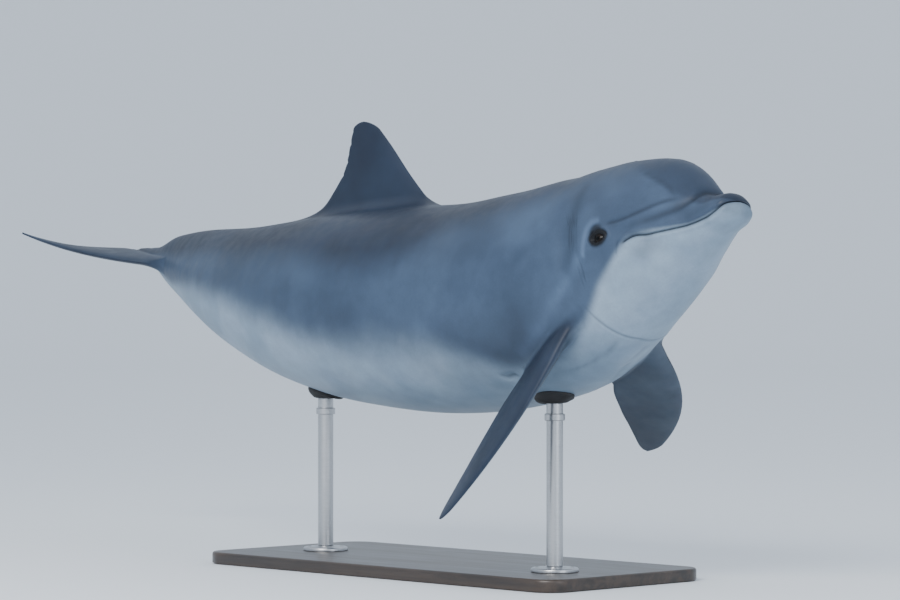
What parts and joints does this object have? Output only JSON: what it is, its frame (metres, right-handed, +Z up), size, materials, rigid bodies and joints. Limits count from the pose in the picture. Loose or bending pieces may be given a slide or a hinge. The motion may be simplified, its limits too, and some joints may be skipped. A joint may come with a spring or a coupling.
{
  "type": "bottlenose dolphin model on a stand",
  "caption": "Life-size adult bottlenose dolphin in a swimming pose, head raised and tail swept aside, banked slightly on a flat base with two upright rods.",
  "frame": {"origin": "centre of the base's underside", "axes": "+X towards the beak, +Y to the animal's left, +Z up"},
  "size_m": [2.6906, 0.9219, 1.0888],
  "materials": {
    "skin": "smooth satin skin, dark slate above fading to pale grey below",
    "eye": "polished, dark brown",
    "stand_base": "black satin lacquer",
    "stand_steel": "fine brushed",
    "stand_pad": "matte black"
  },
  "bodies": {
    "root": {"head": "skin", "lower_jaw": "skin", "eye_left": "eye", "eye_right": "eye", "neck": "skin", "chest": "skin", "abdomen": "skin", "tail_stock": "skin", "dorsal_fin": "skin", "flipper_left": "skin", "flipper_right": "skin", "fluke_left": "skin", "fluke_right": "skin", "stand_base": "stand_base", "stand_flange_front": "stand_steel", "stand_flange_rear": "stand_steel", "stand_rod_front": "stand_steel", "stand_rod_rear": "stand_steel", "stand_saddle_front": "stand_pad", "stand_saddle_rear": "stand_pad"}
  },
  "joints": []
}
